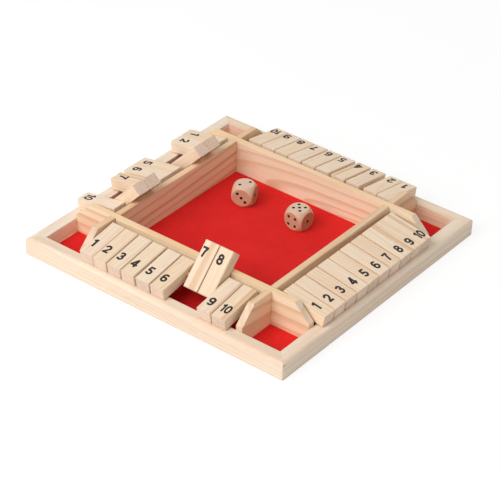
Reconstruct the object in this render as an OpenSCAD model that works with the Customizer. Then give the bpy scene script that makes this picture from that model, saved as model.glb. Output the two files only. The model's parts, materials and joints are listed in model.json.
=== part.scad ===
// Shut the box game for four players: a square frame with a felt floor, four crossed
// walls round a dice tray, and a row of ten number tiles hinged on a rod along each side.
// The origin is the bottom centre of the frame. South is -Y and east is +X. A player sits
// at each side, and that player's tiles count up from left to right.

/* [Tiles] */
// Tiles in each player's row
tile_count = 10; // [6:1:12]
// Width of a tile, along its rod
tile_w = 11.6; // [10:0.1:16]
// Thickness of a tile
tile_t = 9; // [6:0.1:10]
// Distance from a tile's inner end to its rod hole
hole_inset = 9; // [7:0.1:12]
// Radius of a tile's eased edges
tile_edge = 0.6; // [0.3:0.1:1]
// Free length that a whole row of tiles has along its rod
row_free = 15; // [8:0.5:20]
// How far a lying tile reaches out over its rail
tile_lap = 6; // [4:0.1:7]

/* [Walls] */
// Thickness of a wall
wall_t = 5.2; // [4.5:0.1:8]
// Height of the walls' top above the rods
wall_rise = 6.7; // [6:0.1:9]
// Size of the 45 degree cut at a wall's top corners
wall_clip = 12.5; // [6:0.5:16]
// Radius of a wall's eased top edges
wall_edge = 0.8; // [0.3:0.1:1.5]

/* [Rails] */
// Clear width between a wall and its rail, where the tiles lie
bay_w = 31.3; // [28:0.1:45]
// Width of a rail
rail_w = 10.5; // [10:0.5:18]
// Height of a rail
rail_h = 13; // [10:0.5:20]
// Radius of a rail's rounded outer top edge
rail_round = 3; // [1:0.5:3.5]
// Radius of the frame's eased upright corners
corner_ease = 1; // [0.5:0.1:2]
// Radius of a rail's eased inner top edge
rail_edge = 0.6; // [0.3:0.1:1.5]
// Width of the rebate that holds the base panel
rebate_w = 5; // [3:0.5:5]

/* [Floor] */
// Thickness of the base panel
panel_t = 2; // [1.5:0.1:4]
// Thickness of the felt
felt_t = 0.4; // [0.3:0.1:1]
// Strip of the panel that the felt leaves bare along the rails
felt_margin = 1.1; // [0:0.1:2]

/* [Rods] */
// Diameter of a rod
rod_d = 3; // [2:0.1:4]
// Height of the rods above the rails' top
rod_rise = 9; // [7:0.1:10]
// Depth of a rod's hole in a wall
rod_seat = 3.2; // [2:0.1:4]

/* [Dice] */
// Side of a die
die_side = 16; // [12:0.5:19]
// How far the ball that rounds a die's corners stands out past its faces
die_bulge = 2.5; // [1:0.1:3]
// Distance of a pip from the middle of its face, each way
pip_step = 3; // [2.5:0.1:3.5]
// Diameter of a pip
pip_d = 1.8; // [1:0.1:2.2]
// Place of the left die in the tray, to the east of the middle
left_die_x = -35; // [-45:0.1:-10]
// Place of the left die in the tray, to the north of the middle
left_die_y = 36.4; // [-45:0.1:45]
// Turn of the left die
left_die_turn = 18.6; // [-45:0.1:45]
// Place of the right die in the tray, to the east of the middle
right_die_x = 14.2; // [10:0.1:45]
// Place of the right die in the tray, to the north of the middle
right_die_y = 36.2; // [-45:0.1:45]
// Turn of the right die
right_die_turn = -4; // [-45:0.1:45]

/* [Fits] */
// Radial clearance of a tile on its rod
hinge_gap = 0.1; // [0.05:0.01:0.2]
// Clearance of a tile's inner end from the wall as it swings
swing_gap = 2.1; // [0.5:0.1:3]
// Gap left where a tile rests on a rail or on a wall
rest_gap = 0.15; // [0.05:0.01:0.3]
// Gap kept at the tray's corners between the raised end tiles of two rows
corner_gap = 0.2; // [0.1:0.05:0.5]
// Clearance round a rod's end in its hole
rod_fit = 0.05; // [0:0.01:0.1]
// Side clearance where two walls cross
lap_fit = 0.1; // [0:0.01:0.2]
// Clearance round the base panel in its rebate
floor_fit = 0.2; // [0:0.05:0.5]

/* [Hidden] */
$fn = 48;
SIDES = ["south", "east", "north", "west"];
// The tiles that stand raised in each player's row
RAISED = [[7, 8], [], [], [3, 4, 8, 9]];
// How much of a row's play lies before each of its tiles, for every row
PLACES = [
    [0.07, 0.09, 0.17, 0.24, 0.37, 0.47, 0.75, 0.82, 0.94, 1],
    [0.16, 0.24, 0.35, 0.48, 0.58, 0.69, 0.80, 0.91, 0.97, 1],
    [0.02, 0.05, 0.37, 0.52, 0.72, 0.79, 0.88, 0.92, 0.97, 1],
    [0.02, 0.06, 0.10, 0.13, 0.63, 0.65, 0.92, 0.94, 0.97, 1]
];
CUT = 1;

// Across the frame
tray_side = tile_count * tile_w + row_free;
wall_out = tray_side / 2 + wall_t;
frame_inner = 2 * (wall_out + bay_w);
frame_side = frame_inner + 2 * rail_w;
rod_out = norm([hole_inset, tile_t / 2]) + swing_gap;
rod_line = wall_out + rod_out;

// Up the frame
floor_z = panel_t + felt_t;
rod_z = rail_h + rod_rise;
wall_top = rod_z + wall_rise;
wall_h = wall_top - floor_z;

// A lying tile: from the rod to the centre of its rounded lower outer edge, across and down
reach_x = bay_w - rod_out + tile_lap - tile_edge;
reach_z = rod_rise - rest_gap - tile_edge;
edge_drop = tile_t / 2 - tile_edge;
edge_run = sqrt(reach_x * reach_x + reach_z * reach_z - edge_drop * edge_drop);
lie_angle = atan2(reach_z, reach_x) - atan2(edge_drop, edge_run);
tile_len = hole_inset + edge_run + tile_edge;

// A raised tile: from the rod to the centre of the wall's rounded edge that it leans on
lean_x = rod_out + wall_edge;
lean_z = wall_rise - wall_edge;
lean_off = tile_t / 2 + wall_edge + rest_gap;
lean_angle = atan2(lean_z, lean_x) + asin(lean_off / norm([lean_x, lean_z]));
swing = 180 - lean_angle + lie_angle;

// How far a raised tile hangs over the tray. A row's last tile stays farther than that from
// the next wall, so that the next row's first tile clears it when both are raised.
tip_x = edge_run * cos(lean_angle) + edge_drop * sin(lean_angle) + tile_edge;
overhang = tip_x - rod_out - wall_t;
row_play = row_free - overhang - corner_gap;

// What is left outside a quarter round of radius r in the corner at the origin
module corner_waste(r) {
    difference() {
        translate([-CUT, -CUT]) square(r + CUT);
        translate([r, r]) circle(r);
    }
}

// A rectangle from the origin with all four corners rounded
module eased_rect(w, h, r) {
    difference() {
        square([w, h]);
        for (i = [0, 1], j = [0, 1]) {
            translate([i * w, j * h]) mirror([i, 0]) mirror([0, j]) corner_waste(r);
        }
    }
}

// A square sheet about the middle of the frame
module floor_sheet(side, z, t) {
    translate([-side / 2, -side / 2, z]) cube([side, side, t]);
}

// The panel fills the rails' rebate
module base_panel() {
    color("wheat") floor_sheet(frame_inner + 2 * (rebate_w - floor_fit), 0, panel_t);
}

// One sheet, glued down before the walls go in, which stops a little short of the rails
module felt() {
    color("crimson") floor_sheet(frame_inner - 2 * felt_margin, panel_t, felt_t);
}

// Section of a rail, with its outer face at x = 0
module rail_profile() {
    difference() {
        square([rail_w, rail_h]);
        translate([0, rail_h]) mirror([0, 1]) corner_waste(rail_round);
        translate([rail_w, rail_h]) mirror([1, 0]) mirror([0, 1]) corner_waste(rail_edge);
        translate([rail_w - rebate_w, -CUT]) square([rebate_w + CUT, panel_t + CUT]);
    }
}

// The south rail, mitred at both ends, turned to its side
module rail(side) {
    color("moccasin") rotate([0, 0, 90 * side]) intersection() {
        translate([-frame_side / 2, -frame_side / 2, 0])
            rotate([90, 0, 90]) linear_extrude(frame_side) rail_profile();
        translate([-frame_side / 2, -frame_side / 2, 0])
            linear_extrude(rail_h) eased_rect(frame_side, frame_side, corner_ease);
        linear_extrude(rail_h) polygon([[0, 0], [-frame_side, -frame_side], [frame_side, -frame_side]]);
    }
}

// Section of a wall, with eased top edges
module wall_profile() {
    difference() {
        square([wall_t, wall_h]);
        for (i = [0, 1]) {
            translate([i * wall_t, wall_h]) mirror([i, 0]) mirror([0, 1]) corner_waste(wall_edge);
        }
    }
}

// The cut that clips a wall's top corner, in the wall's own plane
module clip_waste() {
    rotate([90, 0, 0]) linear_extrude(wall_t + 2 * CUT)
        polygon([[-CUT, CUT], [wall_clip + CUT, -wall_clip - CUT], [wall_clip + CUT, CUT]]);
}

// The south wall, turned to its side. The north and south walls are slotted from below
// and the east and west walls from above, so that they cross flush.
module wall(side) {
    slot_w = wall_t + 2 * lap_fit;
    slot_z = side % 2 == 0 ? floor_z - CUT : floor_z + wall_h / 2;
    color("burlywood") rotate([0, 0, 90 * side]) difference() {
        translate([-frame_inner / 2, -wall_out, floor_z])
            rotate([90, 0, 90]) linear_extrude(frame_inner) wall_profile();
        for (m = [0, 1]) mirror([m, 0, 0]) {
            translate([frame_inner / 2 - wall_clip, CUT - tray_side / 2, wall_top]) clip_waste();
            translate([wall_out - wall_t / 2 - slot_w / 2, -wall_out - CUT, slot_z])
                cube([slot_w, wall_t + 2 * CUT, wall_h / 2 + CUT]);
            translate([rod_line, CUT - tray_side / 2, rod_z])
                rotate([90, 0, 0]) cylinder(r = rod_d / 2 + rod_fit, h = rod_seat + CUT);
        }
    }
}

// The south rod, turned to its side, with a little end clearance in its two holes
module rod(side) {
    length = tray_side + 2 * (rod_seat - rod_fit);
    color("tan") rotate([0, 0, 90 * side])
        translate([-length / 2, -rod_line, rod_z]) rotate([0, 90, 0]) cylinder(d = rod_d, h = length);
}

// A tile that points to -Y, with its rod hole along the X axis
module tile_blank() {
    difference() {
        translate([-tile_w / 2, hole_inset - tile_len, -tile_t / 2]) intersection() {
            linear_extrude(tile_t) eased_rect(tile_w, tile_len, tile_edge);
            rotate([90, 0, 90]) linear_extrude(tile_w) eased_rect(tile_len, tile_t, tile_edge);
            translate([0, tile_len, 0]) rotate([90, 0, 0])
                linear_extrude(tile_len) eased_rect(tile_w, tile_t, tile_edge);
        }
        translate([-tile_w / 2 - CUT, 0, 0]) rotate([0, 90, 0])
            cylinder(r = rod_d / 2 + hinge_gap, h = tile_w + 2 * CUT);
    }
}

// Share of a row's play that lies before its tile n
function place(side, n) =
    let (spots = PLACES[side], step = (len(spots) - 1) / (tile_count - 1))
    lookup((n - 1) * step, [for (i = [0:len(spots) - 1]) [i, spots[i]]]);

// Tile n of one side's row, lying on the rail or leaning back on the wall
module tile(side, n) {
    x = (n - 0.5) * tile_w + row_play * place(side, n) - tray_side / 2;
    raised = len(search(n, RAISED[side])) > 0;
    turn = raised ? lie_angle - swing : lie_angle;
    color("navajowhite") rotate([0, 0, 90 * side])
        translate([x, -rod_line, rod_z])
        rotate([turn, 0, 0]) tile_blank();
}

// Pip centres of a face with n pips
function pip_spots(n) = [
    if (n % 2 == 1) [0, 0],
    if (n > 1) each [[-1, -1], [1, 1]],
    if (n > 3) each [[-1, 1], [1, -1]],
    if (n == 6) each [[-1, 0], [1, 0]]
];

// A die about its own centre, with 2 on top, 3 in front and 1 on the right
module die_blank() {
    faces = [
        [2, [0, 0, 0]], [5, [180, 0, 0]], [3, [90, 90, 0]],
        [4, [90, 0, 180]], [1, [90, 0, 90]], [6, [90, 0, -90]]
    ];
    difference() {
        intersection() {
            cube(die_side, center = true);
            sphere(die_side / 2 + die_bulge);
        }
        for (face = faces) rotate(face[1]) for (spot = pip_spots(face[0])) {
            translate([spot[0] * pip_step, spot[1] * pip_step, die_side / 2]) sphere(d = pip_d);
        }
    }
}

// A die on the felt. Rolled half over, it shows 5 on top and 4 in front.
module die(x, y, turn, roll) {
    color("peachpuff") translate([x, y, floor_z + die_side / 2])
        rotate([0, 0, turn]) rotate([roll, 0, 0]) die_blank();
}

base_panel();
felt();
for (i = [0:3]) {
    rail(i);
    wall(i);
    rod(i);
    for (n = [1:tile_count]) {
        tile(i, n);
    }
}
die(left_die_x, left_die_y, left_die_turn, 0);  // die_left
die(right_die_x, right_die_y, right_die_turn, 180);  // die_right
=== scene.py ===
import json
from math import atan, cos, degrees, pi, radians, sin

import bmesh
import bpy
from mathutils import Matrix, Vector, noise
from mathutils.geometry import delaunay_2d_cdt


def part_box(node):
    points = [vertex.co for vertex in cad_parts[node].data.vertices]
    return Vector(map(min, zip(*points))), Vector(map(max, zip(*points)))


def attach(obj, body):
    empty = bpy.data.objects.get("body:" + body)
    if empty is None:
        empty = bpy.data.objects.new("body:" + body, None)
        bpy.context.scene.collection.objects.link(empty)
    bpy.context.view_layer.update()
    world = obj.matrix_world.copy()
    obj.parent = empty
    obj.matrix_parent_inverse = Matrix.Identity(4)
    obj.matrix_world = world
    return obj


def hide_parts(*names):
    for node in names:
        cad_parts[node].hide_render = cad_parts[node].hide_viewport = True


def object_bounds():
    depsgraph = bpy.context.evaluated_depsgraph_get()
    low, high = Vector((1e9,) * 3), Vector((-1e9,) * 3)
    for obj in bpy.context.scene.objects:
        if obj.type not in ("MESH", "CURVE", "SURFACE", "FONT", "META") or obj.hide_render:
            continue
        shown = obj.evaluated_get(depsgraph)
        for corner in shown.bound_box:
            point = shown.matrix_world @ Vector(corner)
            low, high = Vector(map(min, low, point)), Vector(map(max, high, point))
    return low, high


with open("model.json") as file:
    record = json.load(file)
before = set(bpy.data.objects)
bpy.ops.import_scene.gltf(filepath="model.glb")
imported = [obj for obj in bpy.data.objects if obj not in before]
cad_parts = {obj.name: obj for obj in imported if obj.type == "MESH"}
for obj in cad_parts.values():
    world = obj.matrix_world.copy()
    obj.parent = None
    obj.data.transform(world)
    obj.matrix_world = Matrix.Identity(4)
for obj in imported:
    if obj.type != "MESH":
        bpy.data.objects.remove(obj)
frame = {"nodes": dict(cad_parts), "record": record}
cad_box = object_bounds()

MM = 0.001
UP = Vector((0, 0, 1))
SIDES = ("south", "east", "north", "west")
TILES = 10
# Nothing reaches out past the frame, so the whole model's width is its side
FRAME_SIDE = cad_box[1][0] - cad_box[0][0]

joints = frame["record"]["behaviour"]["joints"]
hinges = {joint["child"]: joint for joint in joints if joint["type"] == "hinge"}


# Shader maths

class Value:
    """A number that varies over a surface. Python's operators on it add Math nodes."""

    def __init__(self, tree, socket):
        self.tree, self.socket = tree, socket

    def math(self, operation, *terms):
        node = self.tree.node("Math", {"operation": operation}, dict(enumerate(terms)))
        return Value(self.tree, node.outputs[0])

    def __add__(self, other):
        return self.math("ADD", self, other)

    def __sub__(self, other):
        return self.math("SUBTRACT", self, other)

    def __mul__(self, other):
        return self.math("MULTIPLY", self, other)

    def __truediv__(self, other):
        return self.math("DIVIDE", self, other)

    def __rsub__(self, other):
        return self.math("SUBTRACT", other, self)

    def __abs__(self):
        return self.math("ABSOLUTE", self)

    __radd__ = __add__
    __rmul__ = __mul__

    def floor(self):
        return self.math("FLOOR", self)

    def fraction(self):
        return self.math("FRACT", self)

    def root(self):
        return self.math("SQRT", self)

    def larger(self, other):
        return self.math("MAXIMUM", self, other)

    def rise(self, start, end):
        """0 up to start and 1 from end on, with a smooth step between, also where end is the smaller."""
        node = self.tree.node("MapRange", {"interpolation_type": "SMOOTHSTEP"},
                              {"Value": self, "From Min": start, "From Max": end})
        return Value(self.tree, node.outputs[0])


class Nodes:
    """A shader tree, with one method that adds any node and short names for the usual ones."""

    def __init__(self, tree):
        self.tree = tree

    def node(self, kind, settings, inputs):
        node = self.tree.nodes.new("ShaderNode" + kind)
        for name, value in settings.items():
            setattr(node, name, value)
        for key, value in inputs.items():
            self.put(node.inputs[key], value)
        return node

    def put(self, socket, value):
        if isinstance(value, Value):
            value = value.socket
        if isinstance(value, bpy.types.NodeSocket):
            self.tree.links.new(value, socket)
        else:
            socket.default_value = value

    def vector(self, operation, *terms):
        return self.node("VectorMath", {"operation": operation}, dict(enumerate(terms))).outputs["Vector"]

    def number(self, operation, *terms):
        node = self.node("VectorMath", {"operation": operation}, dict(enumerate(terms)))
        return Value(self, node.outputs["Value"])

    def here(self):
        return self.node("TexCoord", {}, {}).outputs["Object"]

    def seen_from(self, axes):
        """Object coordinates on a piece's own axes."""
        turn = {"Location": axes.translation, "Rotation": axes.to_euler("XYZ")}
        return self.node("Mapping", {"vector_type": "TEXTURE"}, {"Vector": self.here(), **turn}).outputs[0]

    def facing(self, direction):
        """How squarely the surface faces along a direction, either way."""
        normal = self.node("TexCoord", {}, {}).outputs["Normal"]
        return abs(self.number("DOT_PRODUCT", normal, tuple(direction)))

    def parts(self, vector):
        return [Value(self, socket) for socket in self.node("SeparateXYZ", {}, {0: vector}).outputs]

    def noise(self, vector, per_metre, detail=2.0, roughness=0.5):
        """Noise from 0 to 1, with its own number of lumps to the metre along each axis."""
        at = self.vector("MULTIPLY", vector, per_metre)
        inputs = {"Vector": at, "Scale": 1.0, "Detail": detail, "Roughness": roughness}
        return Value(self, self.node("TexNoise", {}, inputs).outputs[0])

    def line_noise(self, value):
        inputs = {"W": value, "Scale": 1.0, "Detail": 0.0}
        return Value(self, self.node("TexNoise", {"noise_dimensions": "1D"}, inputs).outputs[0])

    def mix(self, share, a, b):
        return self.node("Mix", {"data_type": "RGBA"}, {0: share, 6: a, 7: b}).outputs[2]

    def dim(self, colour, value):
        return self.node("VectorMath", {"operation": "SCALE"}, {0: colour, "Scale": value}).outputs[0]


class Finish(Nodes):
    """A procedural material on one Principled shader, whose constants are set on its own sockets."""

    def __init__(self, name, **constants):
        self.material = bpy.data.materials.new(name)
        self.material.use_nodes = True
        super().__init__(self.material.node_tree)
        self.shader = self.tree.nodes["Principled BSDF"]
        for socket, value in constants.items():
            self.shader.inputs[socket.replace("_", " ")].default_value = value

    def surface(self, colour, roughness, height, depth, strength):
        self.put(self.shader.inputs["Base Color"], colour)
        self.put(self.shader.inputs["Roughness"], roughness)
        bump = self.node("Bump", {}, {"Height": height, "Distance": depth, "Strength": strength})
        self.put(self.shader.inputs["Normal"], bump.outputs[0])
        return self.material


def paint(red, green, blue):
    """A colour as it is seen on screen, from 0 to 255, made linear for a shader."""
    def linear(channel):
        share = channel / 255
        return share / 12.92 if share <= 0.04045 else ((share + 0.055) / 1.055) ** 2.4
    return (linear(red), linear(green), linear(blue), 1.0)


def toned(colour, tone):
    """A darker colour, or a paler one where the tone is above 1."""
    return tuple(channel * tone for channel in colour)


# Wood

# Noise in wood, in lumps to the metre across the grain, along it and upward
SWAY = (22, 5, 22)
SWELL = (9, 11, 14)
WARM_PATCHES = (42, 5, 42)
FIBRES = (1900, 38, 1900)
STRANDS = (420, 9, 420)
PORES = (1500, 85, 1500)
OPEN_PORES = (1700, 200, 1700)
END_BLOTCHES = (280, 280, 280)

# Colours that all the wood shares
STREAK_COLOUR = (206, 148, 98)
PORE_COLOUR = (150, 105, 75)
KNOT_COLOUR = (112, 84, 62)
MITRE_COLOUR = (140, 104, 78)

# How far from its edge a board is rubbed fully, and how far at all
RUBBED_FULLY = 0.1 * MM
RUBBED_AT_ALL = 1.1 * MM
# Half the width of the dark line in a mitre, where it is full and where it ends
MITRE_FULL = 0.06 * MM
MITRE_ENDS = 0.28 * MM


class Wood(Finish):
    """Planed softwood. axes is the piece's own place, with X across its grain, Y along it and Z up, half its
    half sizes there, and seed moves the noise, so that no two pieces are alike."""

    def __init__(self, name, axes, half, seed):
        super().__init__(name, Specular_IOR_Level=0.3)
        self.seed, self.half = seed, half
        self.axes = axes.to_3x3().col
        at = self.seen_from(axes)
        self.offsets = self.parts(at)
        self.strewn = self.vector("ADD", at, (0.31 * seed, 0.17 * seed, 0.23 * seed))
        self.sway = self.noise(self.strewn, SWAY, 1.0) - 0.5
        self.fibre = self.noise(self.strewn, FIBRES, 2.0, 0.6)
        self.strand = self.noise(self.strewn, STRANDS, 1.0)

    def rings(self, ring, pith, lean, wander, early):
        """How dark the late wood of a growth ring is. The rings run round a pith outside the piece, wavy and
        uneven, and out of the faces where the grain leans."""
        x, y, z = self.offsets
        swell = self.noise(self.strewn, SWELL, 1.0) - 0.5
        across = x + pith[0] * MM + lean[0] * y + 2 * wander * MM * self.sway
        through = z + pith[1] * MM + lean[1] * y + 2 * wander * MM * swell
        age = (across * across + through * through).root() / (ring * MM)
        age = age + 0.8 * self.line_noise(0.45 * age + 3.7 * self.seed)
        year = age.fraction()
        band = year.rise(early, 0.86) * (1 - year.rise(0.9, 1.0))
        return band * (0.35 + 0.9 * self.line_noise(0.73 * age.floor() + 1.3 * self.seed))

    def streaked(self, colour, place, width):
        """A warm stripe along the grain: its place across and half its width, in millimetres."""
        off = abs(self.offsets[0] - place * MM + 3 * MM * self.sway)
        share = off.rise(1.2 * width * MM, 0.2 * width * MM) * (0.22 + 0.55 * self.strand)
        return self.mix(share, colour, paint(*STREAK_COLOUR))

    def sawn_end(self, band, open_pore, end):
        """The colour of a sawn end: the same rings cut across, with open pores."""
        colour = self.mix(band * 0.22, paint(*end), paint(*toned(end, 0.84)))
        colour = self.mix(open_pore * 0.3, colour, paint(*toned(end, 0.66)))
        return self.dim(colour, 0.86 + 0.28 * self.noise(self.strewn, END_BLOTCHES))

    def rubbed(self):
        """1 along the piece's edges, where hands rub it, and 0 elsewhere."""
        near = [(size - abs(off)).rise(RUBBED_AT_ALL, RUBBED_FULLY)
                for off, size in zip(self.offsets, self.half)]
        return (near[0] * near[2]).larger(near[0] * near[1]).larger(near[1] * near[2])

    def rounded(self):
        """1 where the surface faces along none of the piece's own axes."""
        across, along, up = [self.facing(axis) for axis in self.axes]
        return across.larger(along).larger(up).rise(0.985, 0.9)

    def knotted(self, colour, point, radius):
        """A dark knot round a point."""
        far = self.number("LENGTH", self.vector("SUBTRACT", self.here(), tuple(point)))
        return self.mix(far.rise(radius * 1.3, radius * 0.3) * 0.75, colour, paint(*KNOT_COLOUR))

    def mitred(self, colour):
        """A fine dark line on the frame's diagonals, where two rails meet."""
        east, north, _ = self.parts(self.here())
        line = abs(abs(east) - abs(north)).rise(MITRE_ENDS, MITRE_FULL)
        return self.mix(line * 0.2, colour, paint(*MITRE_COLOUR))


def planed_wood(name, axes, half, seed, pale, late, ring=2.6, pith=(14, 40), lean=(0.03, 0.02), wander=3.0,
                early=0.25, contrast=0.7, blush=(234, 194, 166), blush_share=0.4, edge=None,
                end=(232, 208, 186), streak=None, knot=None, rounded_tint=None, mitred=False):
    """Planed softwood with growth rings, fibres, pores, sawn ends and rubbed edges.

    ring is the rings' width, pith how far their middle lies off the piece's, across and up, and wander how
    far they stray, all in millimetres. lean is how fast they drift across and up along the grain. early is
    the part of a ring that stays pale, and contrast how far the rest of it turns from pale to late. blush
    tints long patches, edge the faces that look along Z, end the sawn ends, and worn makes the rounded edges
    paler. On a die, edge is painted light, which makes its top and bottom paler than its sides. streak is a
    stripe's place across and half its width in millimetres, and knot a point and a radius in metres."""
    wood = Wood(name, axes, half, seed)
    band = wood.rings(ring, pith, lean, wander, early)
    colour = wood.mix(band * contrast, paint(*pale), paint(*late))
    patch = wood.noise(wood.strewn, WARM_PATCHES).rise(0.42, 0.72)
    colour = wood.mix(patch * blush_share, colour, paint(*blush))
    if streak:
        colour = wood.streaked(colour, *streak)
    if edge:
        colour = wood.mix(wood.facing(wood.axes[2]).rise(0.6, 0.95) * 0.65, colour, paint(*edge))
    colour = wood.dim(colour, 0.9 + 0.08 * wood.fibre + 0.12 * wood.strand)
    pore = wood.noise(wood.strewn, PORES, 1.0).rise(0.64, 0.74)
    colour = wood.mix(pore * 0.16, colour, paint(*PORE_COLOUR))

    sawn = wood.facing(wood.axes[1]).rise(0.55, 0.8)
    open_pore = wood.noise(wood.strewn, OPEN_PORES, 1.0).rise(0.52, 0.68)
    colour = wood.mix(sawn * 0.9, colour, wood.sawn_end(band, open_pore, end))
    rubbed = wood.rubbed()
    colour = wood.mix(rubbed * 0.28, colour, paint(*toned(late, 0.86)))
    if knot:
        colour = wood.knotted(colour, *knot)
    # The rounded edges are made paler
    if rounded_tint:
        colour = wood.mix(wood.rounded() * 0.6, colour, paint(*rounded_tint))
    if mitred:
        colour = wood.mitred(colour)
    height = 0.5 * wood.fibre + 0.35 * wood.strand + 0.25 * band - 0.5 * pore - 0.6 * sawn * open_pore
    return wood.surface(colour, 0.6 + 0.12 * wood.fibre - 0.06 * rubbed, height, 0.06 * MM, 0.45)


# Felt and paint

def red_felt():
    """Short felt: matted hairs, slightly uneven dye and a few paler hairs."""
    f = Finish("felt_red", Specular_IOR_Level=0.15, Sheen_Weight=0.2, Sheen_Roughness=0.5,
               Sheen_Tint=(1.0, 0.35, 0.3, 1.0))
    at = f.here()
    hair = f.noise(at, (2600, 1500, 2600), 3.0, 0.7)
    crossing = f.noise(at, (900, 2300, 900), 2.0, 0.65)
    dye = f.noise(at, (38, 38, 38), 3.0, 0.6)
    press = f.noise(at, (9, 9, 9), 1.0)
    tuft = f.noise(at, (560, 330, 560), 3.0, 0.7)
    colour = f.mix(dye.rise(0.3, 0.7), paint(216, 17, 20), paint(226, 27, 28))
    colour = f.mix((hair * crossing).rise(0.12, 0.42) * 0.45, colour, paint(236, 52, 48))
    colour = f.dim(colour, 0.74 + 0.12 * crossing + 0.1 * press + 0.28 * tuft)
    return f.surface(colour, 0.92 - 0.1 * hair, 0.6 * hair + 0.4 * crossing, 0.22 * MM, 0.6)


def printed_ink():
    """Black printing ink that has sunk a little unevenly into the wood."""
    f = Finish("ink_black", Specular_IOR_Level=0.3)
    blot = f.noise(f.here(), (500, 500, 500))
    speck = f.noise(f.here(), (2600, 2600, 2600), 1.0).rise(0.62, 0.74)
    colour = f.mix(blot.rise(0.35, 0.75) * 0.5, paint(32, 26, 25), paint(50, 41, 37))
    colour = f.mix(speck * 0.2, colour, paint(92, 76, 66))
    return f.surface(colour, 0.5 + 0.2 * blot, blot, 0.02 * MM, 0.3)


def pip_paint():
    """Dark paint in the hollow of a pip, less glossy in its paler blotches."""
    f = Finish("pip_black", Specular_IOR_Level=0.25)
    pool = f.noise(f.here(), (700, 700, 700))
    colour = f.mix(pool.rise(0.4, 0.8) * 0.6, paint(22, 12, 11), paint(40, 26, 25))
    return f.surface(colour, 0.45 + 0.25 * pool, pool, 0.03 * MM, 0.3)


# Mesh helpers

def finished(bm, name, smooth=False):
    """The bmesh as a mesh with its faces outward."""
    bmesh.ops.recalc_face_normals(bm, faces=bm.faces)
    mesh = bpy.data.meshes.new(name)
    bm.to_mesh(mesh)
    bm.free()
    for face in mesh.polygons:
        face.use_smooth = smooth
    return mesh


def add_copy(bm, mesh, place):
    """Adds a mesh to bm at a place."""
    copy = mesh.copy()
    copy.transform(place)
    bm.from_mesh(copy)
    bpy.data.meshes.remove(copy)


def piece(name, mesh, body, material):
    """A finished mesh as a piece that rides on a body."""
    obj = bpy.data.objects.new(name, mesh)
    bpy.context.collection.objects.link(obj)
    mesh.materials.append(material)
    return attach(obj, body)


def dress(node, material):
    """Gives a carried-over node its material."""
    mesh = frame["nodes"][node].data
    mesh.materials.clear()
    mesh.materials.append(material)


def corners(points):
    """The lowest and the highest corner of the box round some points."""
    return [Vector([pick(point[i] for point in points) for i in range(3)]) for pick in (min, max)]


def side_turn(side):
    """Turns the south side to one of the four sides."""
    return Matrix.Rotation(radians(90 * SIDES.index(side)), 4, "Z")


def own_axes(origin, x, y, z):
    """The place that has this origin and these axes."""
    return Matrix.Translation(origin) @ Matrix((x, y, z)).transposed().to_4x4()


# Rails, walls, rods and base

# What each side's rail and wall are like, in planed_wood's words
RAILS = {
    "south": dict(pale=(244, 227, 206), late=(229, 200, 171)),
    "east": dict(pale=(244, 227, 206), late=(229, 200, 171)),
    "north": dict(pale=(245, 225, 200), late=(229, 197, 164)),
    "west": dict(pale=(247, 230, 210), late=(233, 206, 180)),
}
WALLS = {
    "south": dict(pale=(247, 228, 198), late=(224, 178, 128), edge=(248, 207, 160), ring=7.4, pith=(9, 25),
                  lean=(0.02, -0.03), early=0.3),
    "east": dict(pale=(245, 218, 184), late=(210, 160, 110), edge=(232, 196, 160), ring=5.6, pith=(34, 18),
                 lean=(0.02, 0.05), early=0.35),
    "north": dict(pale=(245, 228, 202), late=(222, 182, 132), edge=(252, 210, 164), ring=6.4, pith=(12, 13),
                  lean=(0.17, 0.0), wander=3.4, early=0.4),
    "west": dict(pale=(241, 209, 175), late=(204, 152, 110), edge=(244, 206, 166), ring=7.6, pith=(4, 33),
                 lean=(0.01, 0.055), early=0.45),
}
# The dark knot at the front end of the east rail: its middle and its radius
RAIL_KNOTS = {"east": (Vector((112.2, -111.4, 11.3)) * MM, 0.75 * MM)}


def dress_board(node, name, side, seed, **looks):
    """Dresses a straight piece whose grain runs along one side of the frame."""
    along = side_turn(side).to_3x3() @ Vector((1, 0, 0))
    across = along.cross(UP)
    low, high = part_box(node)
    half = [abs((high - low).dot(axis)) / 2 for axis in (across, along, UP)]
    if looks.get("mitred"):
        # The frame's corners are eased, so a rail's own box is a little shorter than the frame
        half[1] = FRAME_SIDE / 2
    dress(node, planed_wood(name, own_axes((low + high) / 2, across, along, UP), half, seed, **looks))


def dress_side(side):
    """The rail, the wall and the rod of one side."""
    count = SIDES.index(side) + 1
    dress_board(f"rail_{side}", f"rail_wood_{side}", side, 2.3 * count, **RAILS[side], ring=3.4,
                pith=(6 + 3 * count, 32), lean=(0.012, 0.02), wander=2.5, contrast=0.5, blush_share=0.3,
                knot=RAIL_KNOTS.get(side), mitred=True)
    dress_board(f"wall_{side}", f"wall_wood_{side}", side, 5.1 * count, **WALLS[side], contrast=0.75,
                blush=(238, 202, 160), blush_share=0.3)
    dress_board(f"rod_{side}", f"rod_wood_{side}", side, 7.7 * count, pale=(226, 196, 158),
                late=(196, 156, 116), ring=1.6, pith=(4, 9))


def dress_panel():
    dress_board("base_panel", "panel_plywood", "south", 11.3, pale=(232, 206, 172), late=(206, 166, 124),
                ring=9.0, pith=(30, 18), lean=(0.02, 0.05), wander=9.0, contrast=0.6)


# Felt sheet

# The sheet's cut size, how finely it is divided, and how deep and how close together its dips are
FELT_SIDE = 201.8 * MM
FELT_CELLS = 90
FELT_DIP = 0.04 * MM
DIPS_PER_METRE = 45


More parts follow.
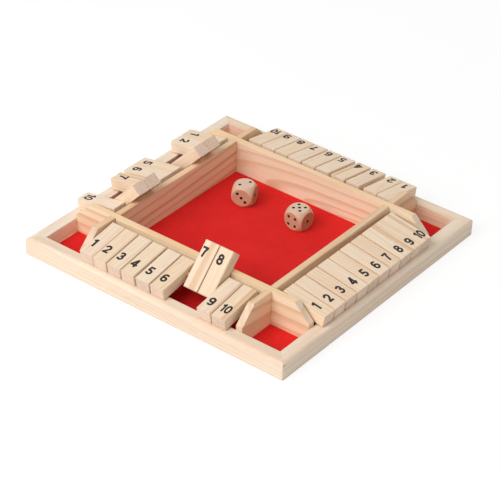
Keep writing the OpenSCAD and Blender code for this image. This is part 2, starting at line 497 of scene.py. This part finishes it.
def lay_felt():
    """The sheet on the base panel, very slightly uneven where the glue took it."""
    low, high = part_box("felt")
    bm = bmesh.new()
    bmesh.ops.create_grid(bm, x_segments=FELT_CELLS, y_segments=FELT_CELLS, size=FELT_SIDE / 2)
    for vert in bm.verts:
        spot = Vector((vert.co.x * DIPS_PER_METRE, vert.co.y * DIPS_PER_METRE, 2.0))
        vert.co.z = high.z - FELT_DIP * (0.5 + 0.5 * noise.noise(spot))
    bmesh.ops.solidify(bm, geom=bm.faces[:], thickness=high.z - low.z - FELT_DIP)
    felt = piece("felt_sheet", finished(bm, "felt_sheet"), "frame", red_felt())
    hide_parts("felt")


# Numbers

# Figures are drawn with a broad nib, 1 high. A stroke has its start, its heading in degrees and its moves: a
# length, or a radius and a turn, where a turn to the left is positive.
NIB = 0.215
STROKES = {
    "1": ((0.32, 0, 90, 1.0), (0.34, 0.90, -150, 0.33)),
    "2": ((0.10, 0.67, 90, (0.23, -219), 0.57), (0.04, 0.095, 0, 0.60)),
    "3": ((0.125, 0.745, 78, (0.2, -258), 0.07), (0.25, 0.545, 0, 0.07, (0.228, -255))),
    "4": ((0.47, 0, 90, 1.0), (0.01, 0.285, 0, 0.68), (0.45, 0.93, -118, 0.72)),
    "5": ((0.105, 0.905, 0, 0.51), (0.20, 0.90, -96, 0.45), (0.135, 0.445, 55, (0.228, -310))),
    "6": ((0.33, 0.545, 0, (0.23, -360)), (0.10, 0.32, 90, 0.135, (1.9, -8), (0.215, -148))),
    "7": ((0.03, 0.905, 0, 0.62), (0.57, 0.88, -130, (1.05, 32), 0.36)),
    "8": ((0.33, 0.905, 0, (0.195, -360)), (0.33, 0.55, 0, (0.228, -360))),
}
# The oval that a zero's stroke follows: its middle, its half width and height, and the radius of its ends
ZERO_X, ZERO_Y = 0.335, 0.5
ZERO_WIDE, ZERO_HIGH, ZERO_END = 0.24, 0.405, 0.19
# From one figure of a number to the next, and how far an arc turns between two cuts
FIGURE_STEP = 0.52
DEGREES_PER_CUT = 9
# How close two points count as one, before and while the strokes are merged
WELD = 1e-5
SAME_SPOT = 1e-4
# The kind of result from delaunay_2d_cdt that is triangles over the whole hull
HULL_TRIANGLES = 0

FIGURE_HIGH = 7.8 * MM
NUMBER_WIDEST = 7.7 * MM
# How far the ink stands out of the wood, and how thick it is in all
INK_TOP = 0.03 * MM
INK_T = 0.05 * MM


def zero_strokes():
    """An oval of four arcs: two tight ones at its ends and two slack ones at its sides."""
    tilt = 2 * atan((ZERO_HIGH - ZERO_END) / (ZERO_WIDE - ZERO_END)) - pi / 2
    half_end = degrees(tilt)
    half_tip, tip = (ZERO_END, -half_end), (ZERO_END, -2 * half_end)
    flank = (ZERO_END + (ZERO_HIGH - ZERO_END) / cos(tilt), 2 * half_end - 180)
    return ((ZERO_X, ZERO_Y + ZERO_HIGH, 0, half_tip, flank, tip, flank, half_tip),)


def draw_stroke(bm, x, y, heading, *moves):
    """Pushes an edge as wide as the nib along straight lines and swings it round arcs."""
    along = Matrix.Rotation(radians(heading), 3, "Z") @ Vector((1, 0, 0))
    left = Vector((-along.y, along.x, 0))
    spot = Vector((x, y, 0))
    nib = bm.edges.new([bm.verts.new(spot + left * NIB / 2), bm.verts.new(spot - left * NIB / 2)])
    for move in moves:
        if isinstance(move, tuple):
            radius, turn = move
            centre = spot + left * (radius if turn > 0 else -radius)
            cuts = max(2, round(abs(turn) / DEGREES_PER_CUT))
            ahead = bmesh.ops.spin(bm, geom=[nib, *nib.verts], cent=centre, axis=UP, angle=radians(turn),
                                   steps=cuts)["geom_last"]
            swing = Matrix.Rotation(radians(turn), 3, "Z")
            spot = centre + swing @ (spot - centre)
            along, left = swing @ along, swing @ left
        else:
            ahead = bmesh.ops.extrude_edge_only(bm, edges=[nib])["geom"]
            tips = [part for part in ahead if isinstance(part, bmesh.types.BMVert)]
            bmesh.ops.translate(bm, verts=tips, vec=along * move)
            spot = spot + along * move
        edges = [part for part in ahead if isinstance(part, bmesh.types.BMEdge)]
        nib = next(edge for edge in edges if set(edge.verts) <= set(ahead))


def drawn_figures(text):
    """All the strokes of a number, one figure beside the other."""
    bm = bmesh.new()
    for place, figure in enumerate(text):
        old = set(bm.verts)
        strokes = zero_strokes() if figure == "0" else STROKES[figure]
        for stroke in strokes:
            draw_stroke(bm, *stroke)
        fresh = [vert for vert in bm.verts if vert not in old]
        bmesh.ops.translate(bm, verts=fresh, vec=(FIGURE_STEP * place, 0, 0))
    bmesh.ops.remove_doubles(bm, verts=bm.verts, dist=WELD)
    return bm


def merged(strokes):
    """The one flat shape that overlapping strokes cover. It uses the strokes up."""
    strokes.normal_update()
    strokes.verts.index_update()
    outlines = []
    for face in strokes.faces:
        ring = face.verts if face.normal.z > 0 else reversed(face.verts)
        outlines.append([vert.index for vert in ring])
    flat = [vert.co.xy for vert in strokes.verts]
    points, _, faces, _, _, inside = delaunay_2d_cdt(flat, [], outlines, HULL_TRIANGLES, SAME_SPOT)
    strokes.free()
    bm = bmesh.new()
    verts = [bm.verts.new((point.x, point.y, 0)) for point in points]
    for face, strokes_there in zip(faces, inside):
        if strokes_there:
            bm.faces.new([verts[i] for i in face])
    bmesh.ops.delete(bm, geom=[vert for vert in bm.verts if not vert.link_faces], context="VERTS")
    return bm


def number_mesh(text):
    """A number as one thin slab of ink, centred on the origin and facing up. A 9 is a 6 turned round."""
    bm = merged(drawn_figures(text.replace("9", "6")))
    low, high = corners([vert.co for vert in bm.verts])
    bmesh.ops.translate(bm, verts=bm.verts, vec=(low + high) / -2)
    tall = FIGURE_HIGH / (high.y - low.y)
    wide = min(tall, NUMBER_WIDEST / (high.x - low.x))
    bmesh.ops.scale(bm, verts=bm.verts, vec=(wide, tall, 1))
    bmesh.ops.dissolve_limit(bm, angle_limit=radians(0.5), verts=bm.verts, edges=bm.edges)
    bmesh.ops.solidify(bm, geom=bm.faces[:], thickness=INK_T)
    top = max(vert.co.z for vert in bm.verts)
    bmesh.ops.translate(bm, verts=bm.verts, vec=(0, 0, INK_TOP - top))
    if text == "9":
        bmesh.ops.rotate(bm, verts=bm.verts, cent=(0, 0, 0), matrix=Matrix.Rotation(pi, 3, "Z"))
    return finished(bm, "number")


# Tiles

# Where each row's prints stand: millimetres from the rod, and to the right of the tile's middle, for the 1
# and then the step from one tile to the next
PRINTS = {
    "south": ((14.4, -2.3), (0.22, 0.2)),
    "east": ((15.3, -1.3), (0.4, 0.3)),
    "north": ((18.9, -0.2), (0, 0.35)),
    "west": ((16.8, 0), (0.26, 0)),
}
# The same for the print on a tile's back, which reads right once the tile is raised, and what differs from it
BACK_PRINT = (17.6, -1.1)
BACK_PRINTS = {7: (17.7, -2.5)}
# How far to the right a print may stand, by its number of figures
PRINT_FREE = {1: 2.5, 2: 1.3}
# The two shades of each kind of board that tiles were cut from
BOARDS = (
    ((241, 218, 190), (225, 192, 157)),
    ((242, 221, 196), (227, 198, 166)),
    ((242, 218, 189), (227, 193, 157)),
    ((243, 223, 199), (230, 202, 172)),
)
TILE_END = (234, 207, 187)
# How much paler than those shades each row is painted: painted light, paler where the key lamp lights a row's
# tops less
ROW_PAINTED_LIGHT = {"south": 1.0, "east": 1.03, "north": 1.045, "west": 1.02}
# Tiles with a warm stripe: its place across the tile and half its width, in millimetres
STREAKS = {
    ("south", 7): (1.4, 3.2), ("south", 9): (4.7, 1.1), ("south", 10): (3.6, 2.2),
    ("east", 9): (-4.0, 1.6), ("east", 10): (1.2, 2.2), ("north", 4): (3.0, 1.2), ("west", 7): (-2.5, 1.4),
}


def lies(tile):
    """Whether a tile rests on its rail rather than on its wall."""
    return hinges[tile]["range_deg"][0] == 0


def tile_axes(tile, side):
    """A tile's own place: its origin on the rod, Y from the free end to the rod, Z out of its front."""
    mesh = frame["nodes"][tile].data
    x = side_turn(side).to_3x3() @ Vector((1, 0, 0))
    lengthwise = [face for face in mesh.polygons if abs(face.normal.dot(x)) < 0.1]
    z = max(lengthwise, key=lambda face: face.area).normal.copy()
    if (z.z > 0) != lies(tile):
        z.negate()
    low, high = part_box(tile)
    origin = Vector(hinges[tile]["pos_m"])
    origin += x * ((low + high) / 2 - origin).dot(x)
    return own_axes(origin, x, z.cross(x), z)


def tile_looks(side, n):
    """What a tile's wood is like. Strides round a few steps keep neighbours from looking alike."""
    count = TILES * SIDES.index(side) + n
    board = BOARDS[(7 * count + SIDES.index(side)) % len(BOARDS)]
    # Painted light: a row that the key lamp lights less is painted paler than its boards
    pale, late = [toned(shade, ROW_PAINTED_LIGHT[side]) for shade in board]
    return {
        "seed": 1.9 * count,
        "pale": pale,
        "late": late,
        "ring": 1.7 + 0.35 * (5 * count % 4),
        "pith": (5 + 7 * (3 * count % 5), 9 + 8 * (11 * count % 4)),
        "lean": (0.04 * (count % 3 - 1), 0.05 * (2 * count % 3 - 1)),
        "wander": 1.6,
        "contrast": 0.3 + 0.09 * (13 * count % 5),
        "blush_share": 0.15 + 0.1 * (3 * count % 4),
        "end": toned(TILE_END, 0.97 + 0.015 * (7 * count % 5)),
        "streak": STREAKS.get((side, n)),
    }


def dress_tile(side, n, ink, number):
    """A tile's wood, and its number on both faces."""
    tile = f"tile_{side}_{n}"
    axes = tile_axes(tile, side)
    low, high = corners([axes.inverted() @ vert.co for vert in frame["nodes"][tile].data.vertices])
    middle = axes @ Matrix.Translation((low + high) / 2)
    dress(tile, planed_wood(f"tile_wood_{side}_{n}", middle, (high - low) / 2, **tile_looks(side, n)))

    (down, right), (down_step, right_step) = PRINTS[side]
    down += (n - 1) * down_step
    right = min(right + (n - 1) * right_step, PRINT_FREE[len(str(n))])
    back_down, back_right = BACK_PRINTS.get(n, BACK_PRINT)
    front = Matrix.Translation((right * MM, -down * MM, high.z))
    back = Matrix.Translation((back_right * MM, -back_down * MM, low.z)) @ Matrix.Rotation(pi, 4, "X")
    bm = bmesh.new()
    add_copy(bm, number, axes @ front)
    add_copy(bm, number, axes @ back)
    piece(f"number_{side}_{n}", finished(bm, f"number_{side}_{n}"), tile, ink)


# Dice

PIP_STEP = 3 * MM
PIP_R = 0.9 * MM
# The paint's brim: its width, how high it stands on the face and how deep it reaches below it
BRIM_WIDE = 0.25 * MM
BRIM_UP = 0.01 * MM
BRIM_DOWN = 0.03 * MM
# The paint in the hollow: how far it stands off the wood and how far its back lies in the wood
COAT_PROUD = 0.02 * MM
COAT_SUNK = 0.01 * MM
# How a bowl is divided, down its slope in degrees and round it, and how close its points count as one
SLOPE_STEP = 12
PIP_SIDES = 20
PIP_WELD = 0.001 * MM
# Which way each face of a die looks before it is turned: turns about X, Y and Z, in degrees
FACES = {2: (0, 0, 0), 5: (180, 0, 0), 3: (90, 90, 0), 4: (90, 0, 180), 1: (90, 0, 90), 6: (90, 0, -90)}


def spots(count):
    """Pip places on a face, in steps from its middle."""
    middle = [(0, 0)] if count % 2 else []
    slant = [(-1, -1), (1, 1)] if count > 1 else []
    other = [(-1, 1), (1, -1)] if count > 3 else []
    return middle + slant + other + ([(-1, 0), (1, 0)] if count == 6 else [])


def turned(x, y, z):
    """Turns about X, then Y, then Z, in degrees."""
    turns = [Matrix.Rotation(radians(angle), 4, axis) for angle, axis in ((z, "Z"), (y, "Y"), (x, "X"))]
    return turns[0] @ turns[1] @ turns[2]


def pip_bowl():
    """The coat of paint in one pip: a thin closed bowl, and a brim where the brush went over the edge."""
    slopes = [radians(angle) for angle in range(0, 90, SLOPE_STEP)]
    inside, outside = PIP_R - COAT_PROUD, PIP_R + COAT_SUNK
    profile = [(inside * sin(slope), -inside * cos(slope)) for slope in slopes]
    profile += [(PIP_R, BRIM_UP), (PIP_R + BRIM_WIDE, BRIM_UP), (PIP_R + BRIM_WIDE, -BRIM_DOWN)]
    profile += [(outside * sin(slope), -outside * cos(slope)) for slope in reversed(slopes)]
    bm = bmesh.new()
    verts = [bm.verts.new((across, 0, up)) for across, up in profile]
    edges = [bm.edges.new(pair) for pair in zip(verts, verts[1:])]
    bmesh.ops.spin(bm, geom=verts + edges, cent=(0, 0, 0), axis=UP, angle=2 * pi, steps=PIP_SIDES,
                   use_merge=True)
    bmesh.ops.remove_doubles(bm, verts=bm.verts, dist=PIP_WELD)
    return finished(bm, "bowl", smooth=True)


def dress_die(die, yaw, roll, seed, coat, bowl):
    """A die's wood, with the grain from its 1 to its 6, and the paint in its pips. yaw and roll, in degrees,
    are how it lies in the part's source."""
    low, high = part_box(die)
    place = Matrix.Translation((low + high) / 2) @ turned(0, 0, yaw) @ turned(roll, 0, 0)
    half = (high.z - low.z) / 2
    # Painted light: edge paints each die's top and bottom paler than its sides, for the light on its top
    dress(die, planed_wood(
        f"die_wood_{die[4:]}", place @ Matrix.Rotation(pi / 2, 4, "Z"), (half, half, half), seed,
        pale=(204, 160, 132), late=(186, 138, 108), ring=1.8, pith=(9, 14), lean=(0.05, 0.04), wander=1.2,
        contrast=0.5, blush=(198, 148, 118), edge=(236, 214, 194), end=(178, 126, 94), rounded_tint=(226, 196, 170)))
    bm = bmesh.new()
    for count, turns in FACES.items():
        for x, y in spots(count):
            hollow = Matrix.Translation((x * PIP_STEP, y * PIP_STEP, half))
            add_copy(bm, bowl, place @ turned(*turns) @ hollow)
    piece(f"pips_{die[4:]}", finished(bm, f"pips_{die[4:]}", smooth=True), die, coat)


# Floor, light and camera

# Half the floor's side, and how far it lies below the game
FLOOR_HALF = 4.0
FLOOR_DROP = 0.2 * MM
FLOOR_GREY = (0.82, 0.82, 0.82, 1)
# How bright the floor glows to the camera, and how much of the glow is mixed in
FLOOR_GLOW = 1.13
GLOW_SHARE = 0.7
WHITE = (1, 1, 1, 1)
SKY_COLOUR = (0.99, 1.0, 1.0, 1)
SKY_LIGHT = 0.52

# The photograph's camera: where it looks, how far off it is, its bearing, rise and tilt, and its lens
LOOKS_AT = Vector((4.19, -7.29, 0)) * MM
DISTANCE = 1.4559
AROUND, RISE, ROLL = radians(36.606), radians(34.084), radians(2.231)
FOCAL_LENGTH = 148.9


def white_floor():
    """A pale table top that looks white to the camera and keeps the game's soft shadow."""
    bm = bmesh.new()
    bmesh.ops.create_grid(bm, x_segments=1, y_segments=1, size=FLOOR_HALF)
    bmesh.ops.translate(bm, verts=bm.verts, vec=(0, 0, -FLOOR_DROP))
    mesh = finished(bm, "floor")
    f = Finish("floor_white", Base_Color=FLOOR_GREY, Roughness=0.9, Specular_IOR_Level=0.1)
    seen = Value(f, f.node("LightPath", {}, {}).outputs["Is Camera Ray"])
    glow = f.node("Emission", {}, {"Color": WHITE, "Strength": FLOOR_GLOW})
    both = f.node("MixShader", {}, {0: seen * GLOW_SHARE, 1: f.shader.outputs[0], 2: glow.outputs[0]})
    f.put(f.tree.nodes["Material Output"].inputs["Surface"], both.outputs[0])
    mesh.materials.append(f.material)
    floor = bpy.data.objects.new("floor", mesh)
    bpy.context.collection.objects.link(floor)


def soft_sky():
    """Even light from all round, and plain white where the camera or a reflection sees it."""
    world = bpy.data.worlds.new("studio")
    bpy.context.scene.world = world
    world.use_nodes = True
    w = Nodes(world.node_tree)
    w.tree.nodes.clear()
    rays = w.node("LightPath", {}, {})
    plain = Value(w, rays.outputs["Is Camera Ray"]).larger(Value(w, rays.outputs["Is Glossy Ray"]))
    light = w.node("Background", {}, {"Color": SKY_COLOUR, "Strength": SKY_LIGHT})
    white = w.node("Background", {}, {"Color": WHITE, "Strength": 1.0})
    sky = w.node("MixShader", {}, {0: plain, 1: light.outputs[0], 2: white.outputs[0]})
    w.node("OutputWorld", {}, {"Surface": sky.outputs[0]})


def soft_box(name, place, size, power, colour):
    """A round studio lamp that looks at the game."""
    lamp = bpy.data.lights.new(name, "AREA")
    lamp.shape = "DISK"
    lamp.size = size
    lamp.energy = power
    lamp.color = colour
    obj = bpy.data.objects.new(name, lamp)
    bpy.context.collection.objects.link(obj)
    obj.location = place
    obj.rotation_euler = (-Vector(place)).to_track_quat("-Z", "Y").to_euler()


def photo_camera():
    """The photograph's view, from the south-east and above."""
    back = Vector((sin(AROUND) * cos(RISE), -cos(AROUND) * cos(RISE), sin(RISE)))
    level = UP.cross(back).normalized()
    upright = back.cross(level)
    right = level * cos(ROLL) + upright * sin(ROLL)
    data = bpy.data.cameras.new("camera")
    data.lens = FOCAL_LENGTH
    data.clip_start = 0.05
    data.clip_end = 20
    camera = bpy.data.objects.new("camera", data)
    bpy.context.collection.objects.link(camera)
    camera.matrix_world = own_axes(LOOKS_AT + back * DISTANCE, right, back.cross(right), back)
    bpy.context.scene.camera = camera


for side in SIDES:
    dress_side(side)
dress_panel()
lay_felt()

ink = printed_ink()
for n in range(1, TILES + 1):
    number = number_mesh(str(n))
    for side in SIDES:
        dress_tile(side, n, ink, number)

bowl = pip_bowl()
coat = pip_paint()
dress_die("die_left", yaw=18.6, roll=0, seed=3.3, coat=coat, bowl=bowl)
dress_die("die_right", yaw=-4, roll=180, seed=6.1, coat=coat, bowl=bowl)

white_floor()
soft_sky()
soft_box("key", place=(-0.29, -1.38, 1.27), size=1.4, power=23.5, colour=(1.0, 0.975, 0.945))
photo_camera()
bpy.context.scene.view_settings.view_transform = "Standard"
